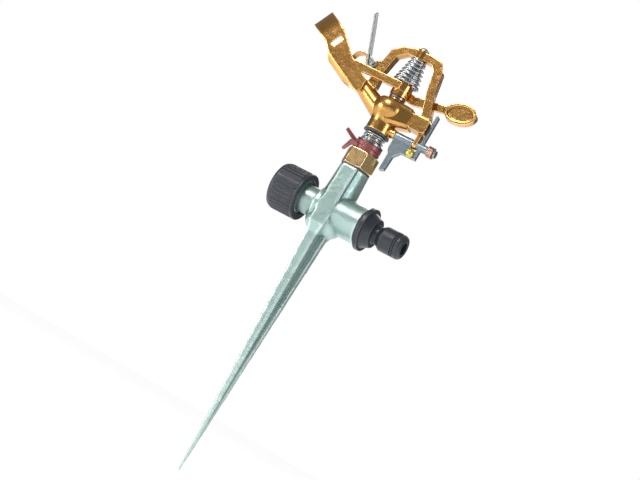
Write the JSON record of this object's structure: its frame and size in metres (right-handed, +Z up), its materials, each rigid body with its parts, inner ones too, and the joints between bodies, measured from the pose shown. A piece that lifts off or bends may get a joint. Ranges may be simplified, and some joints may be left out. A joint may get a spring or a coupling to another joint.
{
  "type": "impulse sprinkler",
  "caption": "Impulse sprinkler on a metal ground spike: brass head with swinging drive arm, trip lever and distance flap, hose tube with snap-in adapter and end cap.",
  "frame": {"origin": "swivel axis at the ground line on the spike, 29 mm under the hose tube's underside", "axes": "+Z up along the spike and swivel axis, +X towards the hose adapter, nozzle towards -X"},
  "size_m": [0.1491, 0.0352, 0.3546],
  "materials": {
    "zinc": "satin",
    "black_plastic": "matte",
    "rubber": "matte",
    "brass": "polished",
    "collar_paint": "satin",
    "steel": "satin",
    "dark_washer": "matte",
    "grey_lever": "satin",
    "copper_wire": "satin"
  },
  "bodies": {
    "base": {"spike_casting": "zinc", "end_cap": "black_plastic", "end_cap_washer": "rubber", "hose_adapter": "black_plastic", "adapter_washer": "rubber", "adapter_ring": "rubber", "bearing_sleeve": "brass", "sleeve_gasket": "rubber", "spring_washer": "steel", "head_spring": "steel"},
    "head": {"riser_tube": "brass", "seal_washer": "rubber", "thrust_washer": "dark_washer", "sprinkler_body": "brass", "nozzle": "brass", "fulcrum_pin": "steel", "arm_washer": "steel", "arm_spring": "steel", "flap_pin": "steel", "trip_rod": "steel", "trip_spring": "copper_wire"},
    "arm": {"drive_arm": "brass", "arm_bushing": "dark_washer"},
    "flap": {"distance_flap": "steel", "flap_shield": "brass"},
    "trip": {"trip_lever": "grey_lever", "trip_screw": "brass"},
    "upper_collar": {"upper_trip_collar": "collar_paint"},
    "lower_collar": {"lower_trip_collar": "collar_paint"}
  },
  "joints": [
    {"name": "head_swivel", "type": "hinge", "parent": "base", "child": "head", "pos_m": [0, 0, 0.1], "axis": [0, 0, 1], "range_deg": [-75, 150]},
    {"name": "arm_swing", "type": "hinge", "parent": "head", "child": "arm", "pos_m": [0, 0, 0.14], "axis": [0, 0, 1], "range_deg": [0, 100], "stiffness_Nm_per_rad": 0.02, "springref_deg": -45.84},
    {"name": "flap_tilt", "type": "hinge", "parent": "head", "child": "flap", "pos_m": [-0.029, 0, 0.1484], "axis": [0, 1, 0], "range_deg": [-40, 15]},
    {"name": "trip_rock", "type": "hinge", "parent": "head", "child": "trip", "pos_m": [0.0225, 0, 0.109], "axis": [1, 0, 0], "range_deg": [-12, 12]},
    {"name": "upper_collar_turn", "type": "hinge", "parent": "base", "child": "upper_collar", "pos_m": [0, 0, 0.093], "axis": [0, 0, 1], "range_deg": [-100, 50]},
    {"name": "lower_collar_turn", "type": "hinge", "parent": "base", "child": "lower_collar", "pos_m": [0, 0, 0.089], "axis": [0, 0, 1], "range_deg": [-130, 15]}
  ]
}
